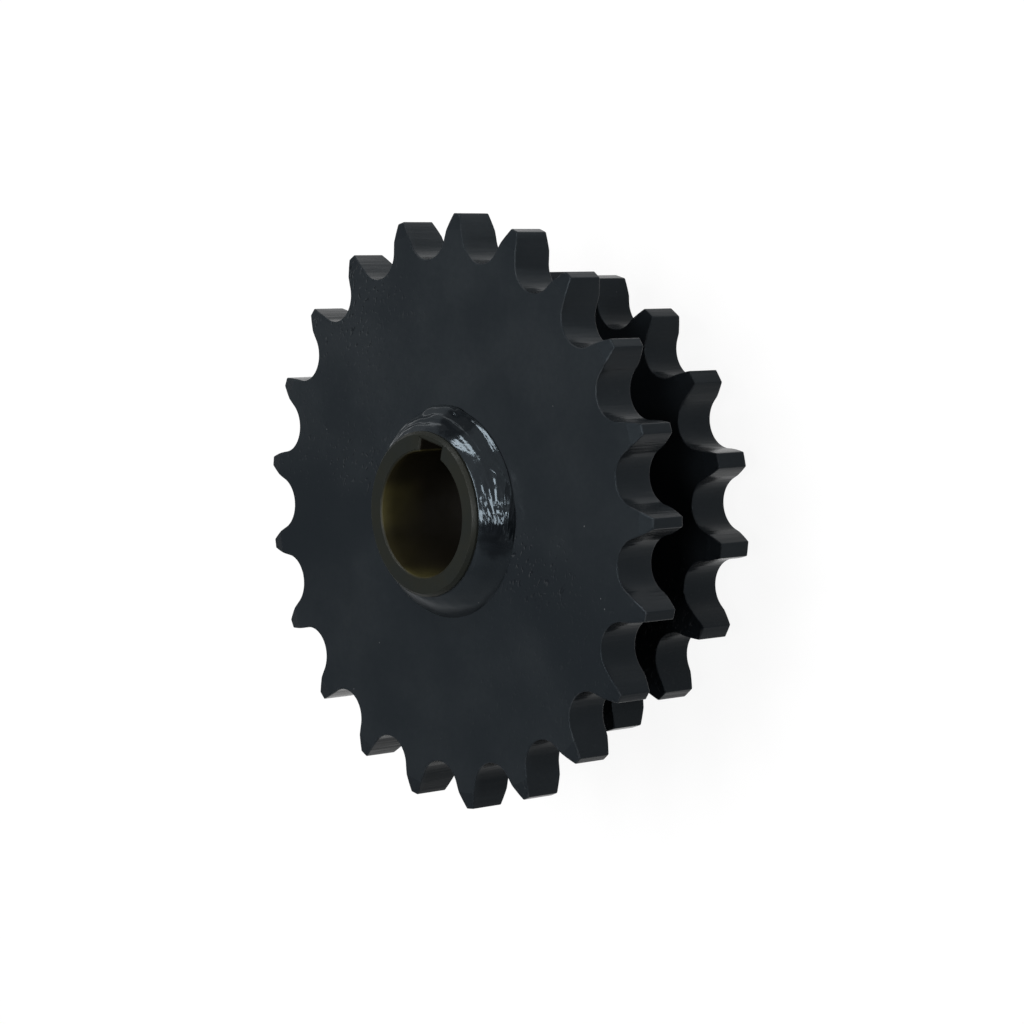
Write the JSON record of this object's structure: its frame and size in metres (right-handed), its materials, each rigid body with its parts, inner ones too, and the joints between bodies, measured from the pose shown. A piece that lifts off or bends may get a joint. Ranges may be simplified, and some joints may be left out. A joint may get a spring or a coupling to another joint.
{
  "type": "double chain sprocket",
  "caption": "Welded chain sprocket: a larger and a smaller toothed plate side by side on a keyed hub, to carry roller chains off a common shaft.",
  "frame": {"origin": "on the hub's axis, in the end face of the hub behind the smaller sprocket, on which the part stands", "axes": "+Z along the bore, from the smaller rear sprocket to the larger front sprocket; +Y through the keyway"},
  "size_m": [0.1801, 0.1799, 0.078],
  "materials": {
    "painted_steel": "satin",
    "painted_weld": "gloss",
    "oiled_steel": "satin"
  },
  "bodies": {
    "root": {"hub": "oiled_steel", "front_sprocket": "painted_steel", "rear_sprocket": "painted_steel", "front_weld": "painted_weld", "rear_weld": "painted_weld"}
  },
  "joints": []
}
